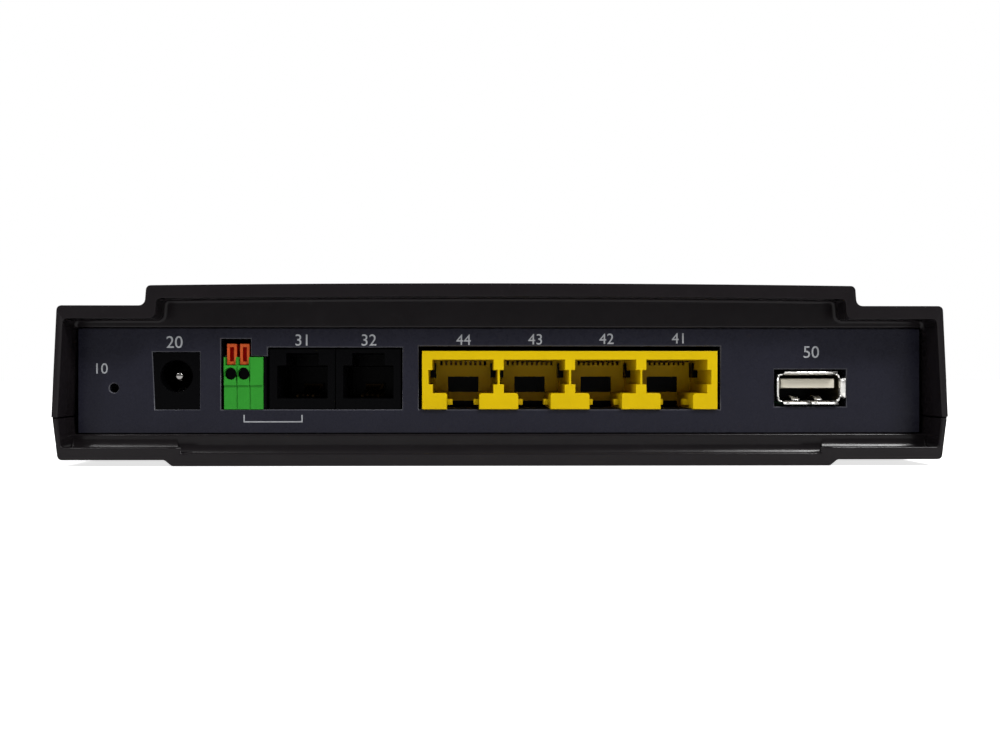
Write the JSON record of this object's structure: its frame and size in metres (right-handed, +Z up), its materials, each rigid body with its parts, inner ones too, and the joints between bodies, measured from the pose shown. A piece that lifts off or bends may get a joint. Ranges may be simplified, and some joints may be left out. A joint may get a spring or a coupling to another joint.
{
  "type": "broadband network terminal",
  "caption": "Desktop black gateway box with a recessed port panel: power socket, spring terminal, phone sockets, ganged network sockets, USB and a pinhole reset.",
  "frame": {"origin": "centre of the rectangle that the housing covers, at the height it stands on", "axes": "+X to the right as the ports are looked at, +Y away from the ports towards the indicator window, +Z up"},
  "size_m": [0.17, 0.125, 0.0346],
  "materials": {
    "shell_plastic": "fine spark-eroded texture, low sheen",
    "panel_plastic": "smooth satin, slightly blue black",
    "smoked_window": "polished smoked acrylic",
    "clear_plastic": "clear light guide",
    "board_laminate": "green solder mask",
    "black_moulding": "moulded, satin",
    "chip_epoxy": "matt epoxy",
    "yellow_moulding": "moulded, low gloss",
    "green_moulding": "moulded, low gloss",
    "orange_moulding": "moulded, low gloss",
    "cream_moulding": "moulded off-white",
    "nickel_plate": "bright nickel plate",
    "zinc_steel": "zinc-plated steel",
    "gold_plate": "gold-flashed wire",
    "aluminium": "plain aluminium"
  },
  "bodies": {
    "housing": {"top_cover": "shell_plastic", "bottom_base": "shell_plastic", "rear_panel": "panel_plastic", "front_window": "smoked_window", "light_guide": "clear_plastic", "case_screw_1": "zinc_steel", "case_screw_2": "zinc_steel", "case_screw_3": "zinc_steel", "case_screw_4": "zinc_steel", "main_board": "board_laminate", "board_screw_1": "zinc_steel", "board_screw_2": "zinc_steel", "board_screw_3": "zinc_steel", "board_screw_4": "zinc_steel", "soc_chip": "chip_epoxy", "ram_chip": "chip_epoxy", "flash_chip": "chip_epoxy", "line_driver_chip": "chip_epoxy", "voice_chip": "chip_epoxy", "lan_transformer_1": "black_moulding", "lan_transformer_2": "black_moulding", "line_transformer": "black_moulding", "crystal_can": "nickel_plate", "power_coil_1": "black_moulding", "power_coil_2": "black_moulding", "capacitor_1": "aluminium", "capacitor_2": "aluminium", "capacitor_3": "aluminium", "heat_sink": "aluminium", "status_lamp_1": "cream_moulding", "status_lamp_2": "cream_moulding", "status_lamp_3": "cream_moulding", "status_lamp_4": "cream_moulding", "status_lamp_5": "cream_moulding", "status_lamp_6": "cream_moulding", "power_jack_body": "black_moulding", "power_jack_pin": "nickel_plate", "power_jack_spring": "nickel_plate", "terminal_block": "green_moulding", "line_jack_body": "black_moulding", "line_jack_contacts": "gold_plate", "phone_jack_body": "black_moulding", "phone_jack_contacts": "gold_plate", "ethernet_housing": "yellow_moulding", "ethernet_contacts_1": "gold_plate", "ethernet_contacts_2": "gold_plate", "ethernet_contacts_3": "gold_plate", "ethernet_contacts_4": "gold_plate", "usb_shell": "nickel_plate", "usb_tongue": "cream_moulding", "reset_switch_body": "black_moulding"},
    "reset_button": {"reset_plunger": "cream_moulding"},
    "clamp_button_1": {"clamp_button_1": "orange_moulding"},
    "clamp_button_2": {"clamp_button_2": "orange_moulding"},
    "clamp_leaf_1": {"clamp_spring_1": "zinc_steel"},
    "clamp_leaf_2": {"clamp_spring_2": "zinc_steel"}
  },
  "joints": [
    {"name": "reset_press", "type": "slide", "parent": "housing", "child": "reset_button", "axis": [0, 1, 0], "range_m": [0, 0.00025], "stiffness_N_per_m": 1500},
    {"name": "clamp_press_1", "type": "slide", "parent": "housing", "child": "clamp_button_1", "axis": [0, 1, 0], "range_m": [0, 0.0012], "stiffness_N_per_m": 1500},
    {"name": "clamp_press_2", "type": "slide", "parent": "housing", "child": "clamp_button_2", "axis": [0, 1, 0], "range_m": [0, 0.0012], "stiffness_N_per_m": 1500},
    {"name": "clamp_turn_1", "type": "hinge", "parent": "housing", "child": "clamp_leaf_1", "pos_m": [-0.05286, -0.04965, 0.01255], "axis": [-1, 0, 0], "range_deg": [0, 9.6]},
    {"name": "clamp_turn_2", "type": "hinge", "parent": "housing", "child": "clamp_leaf_2", "pos_m": [-0.05033, -0.04965, 0.01255], "axis": [-1, 0, 0], "range_deg": [0, 9.6]}
  ],
  "couplings": [
    {"joint": "clamp_turn_1", "follows": "clamp_press_1", "rad_per_m": 137.5},
    {"joint": "clamp_turn_2", "follows": "clamp_press_2", "rad_per_m": 137.5}
  ]
}
